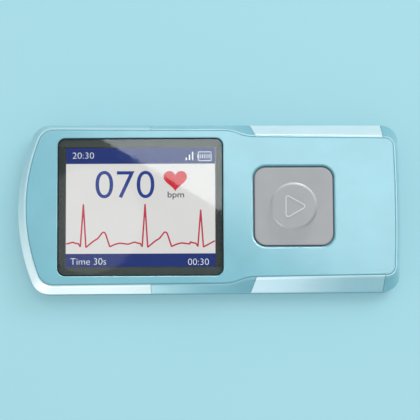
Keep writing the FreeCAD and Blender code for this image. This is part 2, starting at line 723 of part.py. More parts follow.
def make_display_flex():
    """The ribbon that leaves the lower glass, turns under and ends in its socket."""
    top = DISPLAY_SHELF
    bottom = BOARD_TOP + FLEX_SOCKET_HEIGHT / 2 - FLEX_THICKNESS / 2
    turn_x = MODULE_RIGHT + CARRIER_GAP + CARRIER_WALL
    outer = (top + FLEX_THICKNESS - bottom) / 2
    inner = outer - FLEX_THICKNESS
    middle = bottom + outer
    start_x = MODULE_RIGHT - FLEX_OVERLAP
    end_x = MODULE_RIGHT - CARRIER_RAIL + FLEX_SOCKET_LENGTH / 2
    edge_y = -FLEX_WIDTH / 2

    def point(x, z):
        return Vec(x, edge_y, z)

    profile = [
        Part.makeLine(point(start_x, middle + inner), point(start_x, middle + outer)),
        Part.makeLine(point(start_x, middle + outer), point(turn_x, middle + outer)),
        arc(point(turn_x, middle + outer), point(turn_x + outer, middle),
            point(turn_x, middle - outer)),
        Part.makeLine(point(turn_x, middle - outer), point(end_x, middle - outer)),
        Part.makeLine(point(end_x, middle - outer), point(end_x, middle - inner)),
        Part.makeLine(point(end_x, middle - inner), point(turn_x, middle - inner)),
        arc(point(turn_x, middle - inner), point(turn_x + inner, middle),
            point(turn_x, middle + inner)),
        Part.makeLine(point(turn_x, middle + inner), point(start_x, middle + inner)),
    ]
    return Part.Face(Part.Wire(profile)).extrude(Vec(0, FLEX_WIDTH, 0))


def make_flex_socket():
    x = MODULE_RIGHT - CARRIER_RAIL
    body = plate(x, 0, BOARD_TOP, FLEX_SOCKET_LENGTH, FLEX_SOCKET_WIDTH, FLEX_SOCKET_HEIGHT)
    return body


# ------------------------------------------------------------------ start key and switch
def square_key(bottom, height, grow):
    """The key's square outline with rounded corners, grown on every side."""
    return rounded_plate(KEY_X, 0, bottom, KEY_SIZE + 2 * grow, KEY_SIZE + 2 * grow, height,
                         KEY_CORNER + grow)


def key_disc():
    """The raised finger disc, turned from a profile with a sloping foot and a bevelled rim."""
    radius = KEY_DISC_DIAMETER / 2
    top = KEY_TOP + KEY_DISC_HEIGHT
    sunk = KEY_TOP - KEY_WALL / 2
    bevel_start = top - KEY_DISC_BEVEL / 2
    foot_end = radius - KEY_DISC_FOOT
    corners = [(0, sunk), (radius, sunk), (radius, KEY_TOP), (foot_end, bevel_start),
               (foot_end - KEY_DISC_BEVEL, top), (0, top)]
    ring = [Vec(x, 0, z) for x, z in corners]
    turned = Part.Face(Part.makePolygon(ring + ring[:1])).revolve(Vec(0, 0, 0), UP, 360)
    turned.translate(Vec(KEY_X, 0, 0))
    return turned


def make_start_key():
    """The square key: a hollow cap with a flange that the cover holds back."""
    cap = bevelled_plate(KEY_X, FLANGE_TOP, KEY_SIZE, KEY_SIZE, KEY_TOP - FLANGE_TOP,
                         KEY_CORNER, KEY_EDGE_BEVEL)
    flange = square_key(FLANGE_BOTTOM, KEY_FLANGE_THICKNESS, KEY_FLANGE)
    hollow_top = KEY_TOP - KEY_WALL
    hollow = square_key(FLANGE_BOTTOM, hollow_top - FLANGE_BOTTOM, -KEY_WALL)
    shell = fuse([cap, flange]).cut(hollow)
    post_bottom = PLUNGER_TOP + POST_CLEARANCE
    pusher = post(KEY_X, 0, post_bottom, KEY_POST_DIAMETER, hollow_top - post_bottom)
    span = KEY_SIZE - KEY_WALL
    rib_height = hollow_top - FLANGE_BOTTOM
    ribs = [plate(KEY_X, 0, FLANGE_BOTTOM, span, KEY_RIB, rib_height),
            plate(KEY_X, 0, FLANGE_BOTTOM, KEY_RIB, span, rib_height)]
    return fuse([shell, pusher, key_disc()] + ribs)


def make_key_guide():
    """The square frame that stands on the board round the key and carries its bumpers."""
    outer = GUIDE_INNER + 2 * GUIDE_WALL
    height = COVER_BOTTOM - GUIDE_HEAD_CLEARANCE - BOARD_TOP
    wall = plate(KEY_X, 0, BOARD_TOP, outer, outer, height)
    shaft = plate(KEY_X, 0, BOARD_TOP, GUIDE_INNER, GUIDE_INNER, height)
    shelf_bottom = SHELF_TOP - GUIDE_SHELF_THICKNESS
    shelf = plate(KEY_X, 0, shelf_bottom, outer, outer, GUIDE_SHELF_THICKNESS)
    hole_size = GUIDE_INNER - 2 * GUIDE_SHELF
    hole = plate(KEY_X, 0, shelf_bottom, hole_size, hole_size, GUIDE_SHELF_THICKNESS)
    return fuse([wall.cut(shaft), shelf.cut(hole)])


def make_key_bumpers():
    """Four soft stops on the guide's shelf, under the corners of the key's flange."""
    offset = GUIDE_INNER / 2 - GUIDE_SHELF
    return Part.makeCompound([
        plate(KEY_X + side_x * offset, side_y * offset, SHELF_TOP, BUMPER_SIZE, BUMPER_SIZE,
              BUMPER_HEIGHT)
        for side_x in (-1, 1) for side_y in (-1, 1)])


def make_switch_body():
    body = plate(KEY_X, 0, BOARD_TOP, SWITCH_SIZE, SWITCH_SIZE, SWITCH_BODY_HEIGHT)
    depth = PLUNGER_DEPTH + KEY_TRAVEL + PLUNGER_CLEARANCE
    well = post(KEY_X, 0, SWITCH_TOP - depth, PLUNGER_DIAMETER + 2 * PLUNGER_CLEARANCE, depth)
    return body.cut(well)


def make_switch_plunger():
    bottom = SWITCH_TOP - PLUNGER_DEPTH
    return post(KEY_X, 0, bottom, PLUNGER_DIAMETER, PLUNGER_TOP - bottom)


# ------------------------------------------------------------------ rear shell
def usb_middle():
    """Height of the charging socket's middle; it hangs under the board."""
    return BOARD_BOTTOM - USB_HEIGHT / 2


def usb_slot():
    """The slot through the right end wall for the charging plug."""
    length = 3 * REAR_WALL
    slot = plate(0, 0, 0, USB_HEIGHT + 2 * USB_CLEARANCE, USB_WIDTH + 2 * USB_CLEARANCE, length)
    slot = slot.makeFillet(USB_SLOT_CORNER, upright_edges(slot))
    slot.rotate(Vec(0, 0, 0), Vec(0, 1, 0), 90)
    slot.translate(Vec(RIGHT_END - 2 * REAR_WALL, 0, usb_middle()))
    return slot


def screw_pocket(x, y):
    """The hole for a case screw: a wide pocket for the head, then a clear hole."""
    head_depth = SCREW_SINK + SCREW_HEAD_HEIGHT
    pocket = post(x, y, 0, SCREW_HEAD_DIAMETER + 2 * SCREW_POCKET_CLEARANCE, head_depth)
    shank = post(x, y, 0, SCREW_DIAMETER + 2 * SCREW_CLEARANCE, BOARD_BOTTOM)
    return pocket.fuse(shank)


def battery_cradle():
    """Low ribs on the floor that keep the battery in place."""
    outer_length = BATTERY_LENGTH + 2 * (CRADLE_GAP + CRADLE_RIB)
    outer_width = BATTERY_WIDTH + 2 * (CRADLE_GAP + CRADLE_RIB)
    outside = plate(BATTERY_X, 0, REAR_FLOOR, outer_length, outer_width, CRADLE_HEIGHT)
    inside = plate(BATTERY_X, 0, REAR_FLOOR, BATTERY_LENGTH + 2 * CRADLE_GAP,
                   BATTERY_WIDTH + 2 * CRADLE_GAP, CRADLE_HEIGHT)
    gap_length = plate(BATTERY_X, 0, REAR_FLOOR, BATTERY_LENGTH / 2, 2 * BATTERY_WIDTH,
                       CRADLE_HEIGHT)
    gap_width = plate(BATTERY_X, 0, REAR_FLOOR, 2 * BATTERY_LENGTH, BATTERY_WIDTH / 2,
                      CRADLE_HEIGHT)
    return cut(outside, [inside, gap_length, gap_width])


def rear_edge_section(flat):
    """The outline at the start of one flat of the back edge, along a quarter round."""
    turn = math.pi / 2 * flat / REAR_EDGE_FLATS
    return plain_outline(inset(WIDEST, REAR_EDGE_ROUND * (1 - math.sin(turn))),
                         REAR_EDGE_ROUND * (1 - math.cos(turn)))


def make_rear_shell():
    """The tub behind: a rounded back edge, screw bosses and a charging slot."""
    sections = [rear_edge_section(flat) for flat in range(REAR_EDGE_FLATS + 1)]
    tub = Part.makeLoft(sections + [plain_outline(WIDEST, PARTING_HEIGHT)], True, True)
    hollow = prism(plain_outline(inset(WIDEST, REAR_WALL), REAR_FLOOR), PARTING_HEIGHT)
    rebate_bottom = PARTING_HEIGHT - TONGUE_DEPTH - TONGUE_CLEARANCE
    rebate = prism(plain_outline(inset(WIDEST, TONGUE_OUTER_INSET - TONGUE_CLEARANCE),
                                 rebate_bottom), PARTING_HEIGHT)
    shell = cut(tub, [hollow, rebate])
    bosses = [plate(x, y, REAR_FLOOR / 2, REAR_BOSS_SIZE, REAR_BOSS_SIZE,
                    BOARD_BOTTOM - REAR_FLOOR / 2) for x, y in BOSS_PLACES]
    shell = fuse([shell, battery_cradle()] + bosses)
    return cut(shell, [screw_pocket(x, y) for x, y in BOSS_PLACES] + [usb_slot()])


def case_screw(x, y):
    """A cheese-head screw, head down."""
    head = post(x, y, SCREW_SINK, SCREW_HEAD_DIAMETER, SCREW_HEAD_HEIGHT)
    shank = post(x, y, SCREW_SINK + SCREW_HEAD_HEIGHT, SCREW_DIAMETER, SCREW_LENGTH)
    return fuse([head, shank])


def make_case_screws():
    return Part.makeCompound([case_screw(x, y) for x, y in BOSS_PLACES])


# ------------------------------------------------------------------ board and battery
def make_main_board():
    """The board, with square holes that the cover's bosses pass through."""
    board = prism(plain_outline(inset(WIDEST, BOARD_INSET), BOARD_BOTTOM), BOARD_THICKNESS)
    hole_size = BOSS_SIZE + 2 * BOSS_HOLE_CLEARANCE
    holes = [plate(x, y, BOARD_BOTTOM, hole_size, hole_size, BOARD_THICKNESS)
             for x, y in BOSS_PLACES]
    return cut(board, holes)


def make_battery():
    """A flat pouch cell with its protection circuit taped over the lead end."""
    pouch_length = BATTERY_LENGTH - BATTERY_END_CAP
    pouch = plate(BATTERY_RIGHT - BATTERY_END_CAP - pouch_length / 2, 0, BATTERY_BOTTOM,
                  pouch_length, BATTERY_WIDTH, BATTERY_THICKNESS)
    long_edges = [edge for edge in pouch.Edges if edge.BoundBox.XLength > BATTERY_END_CAP]
    pouch = pouch.makeFillet(BATTERY_ROUND, long_edges)
    cap = plate(BATTERY_RIGHT - BATTERY_END_CAP / 2, 0, BATTERY_BOTTOM + BATTERY_END_DROP,
                BATTERY_END_CAP, BATTERY_WIDTH - 2 * BATTERY_ROUND,
                BATTERY_THICKNESS - 2 * BATTERY_END_DROP)
    return fuse([pouch, cap])


def make_battery_pad():
    return plate(BATTERY_X - BATTERY_END_CAP / 2, 0, REAR_FLOOR,
                 BATTERY_LENGTH - BATTERY_END_CAP - 2 * BATTERY_PAD_MARGIN,
                 BATTERY_WIDTH - 2 * BATTERY_PAD_MARGIN, BATTERY_PAD_THICKNESS)


def lead(y):
    """One insulated wire, from the end of the battery up to its plug."""
    start = Vec(BATTERY_RIGHT, y, BATTERY_BOTTOM + LEAD_START_HEIGHT)
    end = Vec(BATTERY_PLUG_X, y, BOARD_BOTTOM - BATTERY_PLUG_HEIGHT / 2)
    rings = [Part.Wire(Part.makeCircle(LEAD_DIAMETER / 2, middle, Vec(1, 0, 0)))
             for middle in (start, end)]
    return Part.makeLoft(rings, True, True)


def make_battery_leads():
    return Part.makeCompound([lead(-LEAD_PITCH / 2), lead(LEAD_PITCH / 2)])


def make_battery_plug():
    return plate(BATTERY_PLUG_X + BATTERY_PLUG_LENGTH / 2, 0, BOARD_BOTTOM - BATTERY_PLUG_HEIGHT,
                 BATTERY_PLUG_LENGTH, BATTERY_PLUG_WIDTH, BATTERY_PLUG_HEIGHT)


# ------------------------------------------------------------------ parts on the board
def make_chip(x, y, size, height):
    """A square flat package with a row of pins along two sides."""
    body = plate(x, y, BOARD_TOP, size, size, height)
    count = int((size - CHIP_PIN_PITCH) / CHIP_PIN_PITCH)
    first = x - (count - 1) * CHIP_PIN_PITCH / 2
    span = size + 2 * CHIP_PIN_REACH
    pins = [plate(first + i * CHIP_PIN_PITCH, y, BOARD_TOP, CHIP_PIN_WIDTH, span,
                  CHIP_PIN_HEIGHT) for i in range(count)]
    return fuse([body] + pins)


def make_processor():
    return make_chip(DISPLAY_X + PROCESSOR_OFFSET, PROCESSOR_Y, PROCESSOR_SIZE, PROCESSOR_HEIGHT)


def make_heart_amplifier():
    return make_chip(DISPLAY_X + AMPLIFIER_OFFSET, AMPLIFIER_Y, AMPLIFIER_SIZE, AMPLIFIER_HEIGHT)


def make_radio_shield():
    """The folded metal can over the radio."""
    x = DISPLAY_X + RADIO_OFFSET
    can = plate(x, RADIO_Y, BOARD_TOP, RADIO_LENGTH, RADIO_WIDTH, RADIO_HEIGHT)
    inside = plate(x, RADIO_Y, BOARD_TOP, RADIO_LENGTH - 2 * RADIO_WALL,
                   RADIO_WIDTH - 2 * RADIO_WALL, RADIO_HEIGHT - RADIO_WALL)
    return can.cut(inside)


def make_buzzer():
    can = post(BUZZER_X, 0, BOARD_BOTTOM - BUZZER_HEIGHT, BUZZER_DIAMETER, BUZZER_HEIGHT)
    port = post(BUZZER_X, 0, BOARD_BOTTOM - BUZZER_HEIGHT, BUZZER_PORT, BUZZER_PORT_DEPTH)
    return can.cut(port)


def make_contact(tip, turn):
    """A bent leaf spring from the board to an electrode's tab.

    It is drawn with the tab to its left, then turned about Z by turn degrees."""
    nose = TAB_HEIGHT - BOARD_TOP
    middle_line = [
        (LEAF_BASE_END, LEAF_THICKNESS / 2),
        (LEAF_BASE_START, LEAF_THICKNESS / 2),
        (LEAF_KNEE, nose * LEAF_KNEE_SHARE),
        (LEAF_TOUCH + LEAF_THICKNESS / 2, nose),
        (LEAF_KNEE, nose * LEAF_TAIL_SHARE),
    ]
    left_side = offset_line(middle_line, LEAF_THICKNESS / 2)
    right_side = offset_line(middle_line, -LEAF_THICKNESS / 2)
    ring = [Vec(x, -LEAF_WIDTH / 2, z) for x, z in left_side + right_side[::-1]]
    leaf = Part.Face(Part.makePolygon(ring + ring[:1])).extrude(Vec(0, LEAF_WIDTH, 0))
    leaf.rotate(Vec(0, 0, 0), UP, turn)
    leaf.translate(Vec(tip.x, tip.y, BOARD_TOP))
    return leaf


def offset_line(points, distance):
    """A bent line moved sideways by distance, its corners mitred."""
    moved = []
    for i, (x, z) in enumerate(points):
        before = points[max(i - 1, 0)]
        after = points[min(i + 1, len(points) - 1)]
        way_in = unit(before, (x, z)) if i > 0 else unit((x, z), after)
        way_out = unit((x, z), after) if i < len(points) - 1 else way_in
        normal = (-(way_in[1] + way_out[1]), way_in[0] + way_out[0])
        scale = 2 * distance / (normal[0] ** 2 + normal[1] ** 2)
        moved.append((x + normal[0] * scale, z + normal[1] * scale))
    return moved


def unit(start, end):
    length = math.hypot(end[0] - start[0], end[1] - start[1])
    return (end[0] - start[0]) / length, (end[1] - start[1]) / length


def usb_profile(shrink, x):
    """The socket's outline in the YZ plane: flat on the board, narrower at its lower side."""
    top = usb_middle() + USB_HEIGHT / 2 - shrink
    bottom = usb_middle() - USB_HEIGHT / 2 + shrink
    wide = USB_WIDTH / 2 - shrink
    narrow = USB_BASE_WIDTH / 2 - shrink
    shoulder = (top + bottom) / 2
    corners = [(-wide, top), (-wide, shoulder), (-narrow, bottom), (narrow, bottom),
               (wide, shoulder), (wide, top)]
    ring = [Vec(x, y, z) for y, z in corners]
    return Part.Face(Part.makePolygon(ring + ring[:1]))


def make_usb_socket():
    """The charging socket: a folded shell with a contact tongue inside."""
    mouth = RIGHT_END - USB_INSET
    back = mouth - USB_LENGTH
    shell = usb_profile(0, back).extrude(Vec(USB_LENGTH, 0, 0))
    inside = usb_profile(USB_WALL, back + USB_WALL).extrude(Vec(USB_LENGTH, 0, 0))
    tongue_z = usb_middle() + USB_TONGUE_THICKNESS / 2
    tongue = block(back, -USB_TONGUE_WIDTH / 2, tongue_z, mouth - USB_INSET,
                   USB_TONGUE_WIDTH / 2, tongue_z + USB_TONGUE_THICKNESS)
    return fuse([shell.cut(inside), tongue])


# ------------------------------------------------------------------ all parts
def make_parts():
    return {
        "rear_shell": make_rear_shell(),
        "rim_frame": make_rim_frame(),
        "front_cover": make_front_cover(),
        "left_electrode": make_left_electrode(),
        "upper_electrode": make_finger_electrode(1),
        "lower_electrode": make_finger_electrode(-1),
        "window_lens": make_window_lens(),
        "lens_gasket": make_lens_gasket(),
        "display_panel": make_display_panel(),
        "display_backlight": make_backlight(),
        "display_carrier": make_display_carrier(),
        "display_flex": make_display_flex(),
        "flex_socket": make_flex_socket(),
        "start_key": make_start_key(),
        "key_guide": make_key_guide(),
        "key_bumpers": make_key_bumpers(),
        "switch_body": make_switch_body(),
        "switch_plunger": make_switch_plunger(),
        "main_board": make_main_board(),
        "processor": make_processor(),
        "heart_amplifier": make_heart_amplifier(),
        "radio_shield": make_radio_shield(),
        "buzzer": make_buzzer(),
        "usb_socket": make_usb_socket(),
        "left_contact": make_contact(left_tab_tip(), 0),
        "upper_contact": make_contact(finger_tab_tip(1), -90),
        "lower_contact": make_contact(finger_tab_tip(-1), 90),
        "battery": make_battery(),
        "battery_pad": make_battery_pad(),
        "battery_leads": make_battery_leads(),
        "battery_plug": make_battery_plug(),
        "case_screws": make_case_screws(),
    }


os.makedirs("parts", exist_ok=True)
for name, shape in make_parts().items():
    shape.exportStep("parts/" + name + ".step")
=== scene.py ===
import math

import bmesh
import bpy
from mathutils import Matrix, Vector


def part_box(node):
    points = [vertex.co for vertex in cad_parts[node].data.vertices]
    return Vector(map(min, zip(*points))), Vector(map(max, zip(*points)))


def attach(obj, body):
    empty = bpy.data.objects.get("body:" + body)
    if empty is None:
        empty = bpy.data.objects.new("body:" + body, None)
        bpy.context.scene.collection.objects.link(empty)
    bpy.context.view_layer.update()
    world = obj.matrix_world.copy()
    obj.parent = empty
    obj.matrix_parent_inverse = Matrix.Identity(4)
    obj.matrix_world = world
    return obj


# Handheld heart monitor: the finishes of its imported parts, the lit picture on its display, the
# play mark on its key, and a pale studio floor.  Metres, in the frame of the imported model.

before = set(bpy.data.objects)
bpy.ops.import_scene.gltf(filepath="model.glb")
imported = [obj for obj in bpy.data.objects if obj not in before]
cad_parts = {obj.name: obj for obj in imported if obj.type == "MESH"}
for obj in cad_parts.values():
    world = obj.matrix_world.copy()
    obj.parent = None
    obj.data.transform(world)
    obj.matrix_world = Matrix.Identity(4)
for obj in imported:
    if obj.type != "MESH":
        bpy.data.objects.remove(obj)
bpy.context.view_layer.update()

MM = 0.001

# ------------------------------------------------------------------ colours, as 0 to 255 values
CASE_BLUE = (120, 180, 195)
RIM_BLUE = (131, 189, 205)
ELECTRODE_BLUE = (178, 217, 227)
KEY_GREY = (154, 155, 158)
MASK_GREY = (22, 40, 35)
# Painted shade: the dark teal of the bead in the window's gap, standing in for the gap's shadow.
GAP_SHADE_TEAL = (14, 36, 44)
FLOOR_BLUE = (171, 221, 231)
PANEL_WHITE = (228, 223, 222)
BAR_NAVY = (20, 44, 116)
DIGIT_BLUE = (28, 58, 140)
TRACE_RED = (196, 52, 74)
HEART_RED = (212, 30, 48)
UNIT_SLATE = (36, 42, 66)
LETTER_WHITE = (244, 246, 250)
MARK_GREY = (200, 203, 206)
PANEL_DARK = (20, 24, 30)
PANEL_FLECK = (30, 35, 42)
PART_BLACK = (42, 43, 46)
RUBBER_BLACK = (40, 40, 42)
FOAM_GREY = (60, 60, 62)
IVORY = (232, 224, 202)
FILM_ORANGE = (190, 120, 44)
LEAD_RED = (176, 36, 32)
STEEL = (206, 207, 210)
TRAY_METAL = (214, 215, 216)
BRASS = (222, 182, 104)
BOARD_GREEN = (14, 66, 44)
BOARD_LIGHT = (20, 88, 58)
FOIL_DARK = (188, 190, 194)
FOIL_LIGHT = (214, 216, 220)
# These two are linear, as shaders take them.
BLACK = (0.0, 0.0, 0.0, 1.0)
GLASS_TINT = (0.95, 0.975, 0.97, 1.0)
GLASS_IOR = 1.5

# ------------------------------------------------------------------ the picture on the display
# Places on the picture are in display points, from its lower left corner.
POINT = 0.18 * MM
PICTURE_POINTS = (220, 176)
LAYER = 0.02 * MM            # thickness of each layer of the picture
TOP_BAR_HEIGHT = 23.3
BOTTOM_BAR_HEIGHT = 19.5
TRACE_WIDTH = 2.3
TRACE_CORNER = 0.7
BEAT_PLACES = (25.7, 116.6, 198.6)
BEAT_HEIGHTS = (92.4, 92.4, 83.8)
# One heartbeat as the trace draws it: place after the beat's peak, and height.
BEAT_BEFORE = ((-15.4, 36.6), (-11.3, 35.0), (-7.2, 34.5), (-4.3, 29.8))
BEAT_AFTER = ((3.8, 28.9), (14.9, 38.0), (21.4, 42.0), (28.2, 50.9), (30.4, 51.2), (32.5, 49.4),
              (38.9, 29.8), (46.3, 33.2), (53.7, 35.0), (66.0, 33.4))
TRACE_START_HEIGHT = 34.0
TRACE_INSET = 0.6            # of its ends from the picture's edges
LAST_BEAT_SHOWN = 2          # of BEAT_AFTER's places, before the trace leaves the picture
SIGNAL_BARS = 3
SIGNAL_LEFT = 176.6
SIGNAL_STEP = 4.7
SIGNAL_BAR_WIDTH = 2.1
SIGNAL_BOTTOM = 157.8
SIGNAL_FIRST_HEIGHT = 4.0
SIGNAL_RISE = 4.2
BATTERY_SPACE = (195.4, 214.4, 157.0, 170.2)     # left, right, bottom and top of its outline
BATTERY_CORNER = 1.8
BATTERY_LINE = 1.0
BATTERY_BARS = 5
BATTERY_INSET = 2.2          # of the first bar from the outline's left
BATTERY_END_INSET = 3.5      # of the bars from its bottom and top
BATTERY_STEP = 3.35
BATTERY_BAR_WIDTH = 1.2
BATTERY_TERMINAL_REACH = 1.5 # past the outline's left
BATTERY_TERMINAL_HALF = 2.1  # half its height
HEART_MIDDLE = (161.2, 129.1)
HEART_SCALE = (1.085, 1.06)
HEART_STEPS = 72
# Lettering: the words, the left, right, bottom and top of their space, and how much their strokes
# are thickened.
CLOCK = ("20:30", (9.6, 41.0, 160.6, 169.7), -0.018)
PULSE = ("070", (43.4, 130.4, 101.6, 142.2), -0.005)
UNIT = ("bpm", (149.9, 174.2, 99.6, 111.2), 0.006)
SPAN = ("Time 30s", (6.8, 59.3, 3.4, 13.0), -0.015)
ELAPSED = ("00:30", (179.8, 210.2, 2.5, 11.7), -0.018)
# Mending of thinned lettering, in its own size, where a line of it is 1 high.
NEEDLE_ANGLE = math.radians(15)
PLACE_DIGITS = 5             # to which a corner's place is read
SAME_PLACE = 0.00002

# ------------------------------------------------------------------ painted shade in the window's gap
GAP_SHADE_REACH = 0.17 * MM       # from the window's edge outwards
GAP_SHADE_LAP = 0.14 * MM         # from the window's edge inwards, over its bevel
GAP_SHADE_DEPTH = 0.3 * MM
GAP_SHADE_SINK = 0.04 * MM        # of its top below the window's
GAP_SHADE_SHINE = 0.15
WINDOW_CORNER = 1.9 * MM

# ------------------------------------------------------------------ the play mark on the key
MARK_LEFT = -2.1 * MM        # from the middle of the key
MARK_RIGHT = 3.45 * MM
MARK_HALF = 3.15 * MM        # half its height
MARK_DROP = 0.12 * MM        # of its middle below the middle of the key
MARK_CORNER = 0.55 * MM
MARK_LINE = 0.42 * MM
MARK_SHOULDER = MARK_LINE / 4        # by which its top is narrower on each side
MARK_HEIGHT = 0.05 * MM      # above the disc
MARK_SINK = 0.02 * MM        # into the disc


def linear(colour):
    """A 0 to 255 screen colour as the linear values that shaders take."""
    def channel(value):
        share = value / 255
        return share / 12.92 if share <= 0.04045 else ((share + 0.055) / 1.055) ** 2.4
    return tuple(channel(value) for value in colour) + (1.0,)


def scaled(colour, factor):
    """A 0 to 255 colour made darker or lighter by a factor."""
    return tuple(min(255.0, value * factor) for value in colour)


# ------------------------------------------------------------------ shader building
class Finish:
    """A material with one Principled shader, and helpers for the nodes that feed it."""

    def __init__(self, name, roughness=0.5, metallic=0.0):
        self.material = bpy.data.materials.new(name)
        self.material.use_nodes = True
        self.nodes = self.material.node_tree.nodes
        self.links = self.material.node_tree.links
        self.shader = self.nodes["Principled BSDF"]
        self.shader.inputs["Roughness"].default_value = roughness
        self.shader.inputs["Metallic"].default_value = metallic
        self.place = self.nodes.new("ShaderNodeTexCoord").outputs["Object"]

    def feed(self, socket, value):
        """Gives a socket a value or links it to another node's output."""
        if isinstance(value, bpy.types.NodeSocket):
            self.links.new(value, socket)
        else:
            socket.default_value = value

    def set(self, name, value):
        """Gives one of the shader's own sockets a value or a link."""
        self.feed(self.shader.inputs[name], value)

    def stretched(self, along_x, along_y, along_z):
        """Object coordinates scaled by different amounts along the axes."""
        mapping = self.nodes.new("ShaderNodeMapping")
        mapping.inputs["Scale"].default_value = (along_x, along_y, along_z)
        self.feed(mapping.inputs["Vector"], self.place)
        return mapping.outputs["Vector"]

    def noise(self, size, detail=2.0, place=None):
        """Soft noise from 0 to 1 whose features are about size metres across."""
        texture = self.nodes.new("ShaderNodeTexNoise")
        texture.inputs["Scale"].default_value = 1 / size
        texture.inputs["Detail"].default_value = detail
        self.feed(texture.inputs["Vector"], place or self.place)
        return texture.outputs["Fac"]

    def cells(self, size):
        """Distance to the nearest of scattered points about size metres apart, in sizes."""
        texture = self.nodes.new("ShaderNodeTexVoronoi")
        texture.inputs["Scale"].default_value = 1 / size
        self.feed(texture.inputs["Vector"], self.place)
        return texture.outputs["Distance"]

    def spread(self, value, low, high, start=0.3, end=0.7):
        """Maps a value that runs from start to end onto low to high."""
        node = self.nodes.new("ShaderNodeMapRange")
        for name, amount in (("From Min", start), ("From Max", end), ("To Min", low),
                             ("To Max", high)):
            node.inputs[name].default_value = amount
        self.feed(node.inputs["Value"], value)
        return node.outputs["Result"]

    def tint(self, factor, first, second):
        """A colour between two 0 to 255 colours."""
        node = self.nodes.new("ShaderNodeMix")
        node.data_type = "RGBA"
        self.feed(node.inputs["Factor"], factor)
        self.feed(node.inputs[6], linear(first))
        self.feed(node.inputs[7], linear(second))
        return node.outputs[2]

    def math(self, operation, first, second):
        """The outcome of an operation on two values."""
        node = self.nodes.new("ShaderNodeMath")
        node.operation = operation
        self.feed(node.inputs[0], first)
        self.feed(node.inputs[1], second)
        return node.outputs["Value"]

    def relief(self, height, depth):
        """A bump normal from a height of 0 to 1 that stands depth metres high."""
        node = self.nodes.new("ShaderNodeBump")
        node.inputs["Distance"].default_value = depth
        self.feed(node.inputs["Height"], height)
        return node.outputs["Normal"]


def moulded(name, colour, roughness, grain, depth, mottle=0.02, gloss_spread=0.04):
    """Moulded plastic: a faintly cloudy colour, a fine surface grain and uneven gloss."""
    made = Finish(name)
    cloud = made.noise(9 * MM, detail=3.0)
    made.set("Base Color", made.tint(made.spread(cloud, 0, 1), scaled(colour, 1 - mottle),
                                     scaled(colour, 1 + mottle)))
    gloss = made.noise(3.5 * MM)
    made.set("Roughness", made.spread(gloss, roughness - gloss_spread,
                                      roughness + gloss_spread))
    made.set("Normal", made.relief(made.noise(grain), depth))
    return made


def case_plastic():
    """The shell behind: a spark-eroded satin texture."""
    return moulded("case_plastic", CASE_BLUE, roughness=0.42, grain=0.35 * MM,
                   depth=0.012 * MM).material


def rim_plastic():
    """The glossy rim between the electrodes."""
    made = moulded("rim_plastic", RIM_BLUE, roughness=0.16, grain=2.5 * MM, depth=0.002 * MM)
    made.set("Coat Weight", 0.5)
    made.set("Coat Roughness", 0.06)
    return made.material


def cover_plastic():
    """The front: smooth and glossy."""
    return moulded("cover_plastic", CASE_BLUE, roughness=0.14, grain=1.6 * MM,
                   depth=0.001 * MM, gloss_spread=0.015).material


def electrode_metal():
    """Pale plated electrodes with a smooth satin polish."""
    made = Finish("electrode_metal", metallic=0.25)
    cloud = made.noise(7 * MM, detail=3.0)
    made.set("Base Color", made.tint(made.spread(cloud, 0, 1), scaled(ELECTRODE_BLUE, 0.985),
                                     scaled(ELECTRODE_BLUE, 1.01)))
    polish = made.noise(0.4 * MM, detail=3.0, place=made.stretched(0.08, 1, 1))
    made.set("Roughness", made.spread(polish, 0.44, 0.5))
    made.set("Normal", made.relief(made.noise(1.2 * MM), 0.001 * MM))
    return made.material


def key_plastic():
    """The matt grey key."""
    return moulded("key_plastic", KEY_GREY, roughness=0.5, grain=0.22 * MM, depth=0.006 * MM,
                   mottle=0.015).material


def mask_rubber():
    """The dark frame that masks the display's edge, printed on its foam."""
    return moulded("mask_rubber", MASK_GREY, roughness=0.55, grain=0.3 * MM,
                   depth=0.004 * MM, mottle=0.05).material


def window_glass():
    """The clear window: tinted, mirroring only at its front, so that lamps shine through it."""
    made = Finish("window_glass")
    clear = made.nodes.new("ShaderNodeBsdfTransparent")
    clear.inputs["Color"].default_value = GLASS_TINT
    mirror = made.nodes.new("ShaderNodeBsdfGlossy")
    made.feed(mirror.inputs["Roughness"], made.spread(made.noise(6 * MM), 0.02, 0.035))
    fresnel = made.nodes.new("ShaderNodeFresnel")
    fresnel.inputs["IOR"].default_value = GLASS_IOR
    side = made.nodes.new("ShaderNodeNewGeometry")
    front = made.spread(side.outputs["Backfacing"], low=1, high=0, start=0, end=1)
    mix = made.nodes.new("ShaderNodeMixShader")
    made.feed(mix.inputs["Fac"], made.math("MULTIPLY", fresnel.outputs["Fac"], front))
    made.feed(mix.inputs[1], clear.outputs["BSDF"])
    made.feed(mix.inputs[2], mirror.outputs["BSDF"])
    made.feed(made.nodes["Material Output"].inputs["Surface"], mix.outputs["Shader"])
    made.nodes.remove(made.shader)
    return made.material


def lit(name, colour):
    """A glowing part of the picture, with a faint unevenness of the light behind it."""
    made = Finish(name, roughness=0.4)
    glow = made.noise(14 * MM)
    made.set("Base Color", BLACK)
    made.set("Specular IOR Level", 0.0)
    made.set("Emission Color", made.tint(made.spread(glow, 0, 1), scaled(colour, 0.99),
                                         scaled(colour, 1.01)))
    made.set("Emission Strength", 1.0)
    return made.material


def dark_glass():
    """The display's two glasses, with faint flecks of the size of its points."""
    made = Finish("dark_glass", roughness=0.08)
    flecks = made.cells(POINT)
    made.set("Base Color", made.tint(flecks, PANEL_DARK, PANEL_FLECK))
    return made.material


def sheet_metal(name, colour, roughness, across):
    """Rolled or plated metal, brushed along X; across is the width of its streaks."""
    made = Finish(name, metallic=1.0)
    streaks = made.noise(across, detail=3.0, place=made.stretched(0.06, 1, 1))
    made.set("Base Color", made.tint(made.spread(streaks, 0, 1), scaled(colour, 0.95),
                                     scaled(colour, 1.03)))
    made.set("Roughness", made.spread(streaks, roughness - 0.05, roughness + 0.07))
    made.set("Normal", made.relief(streaks, 0.002 * MM))
    return made.material


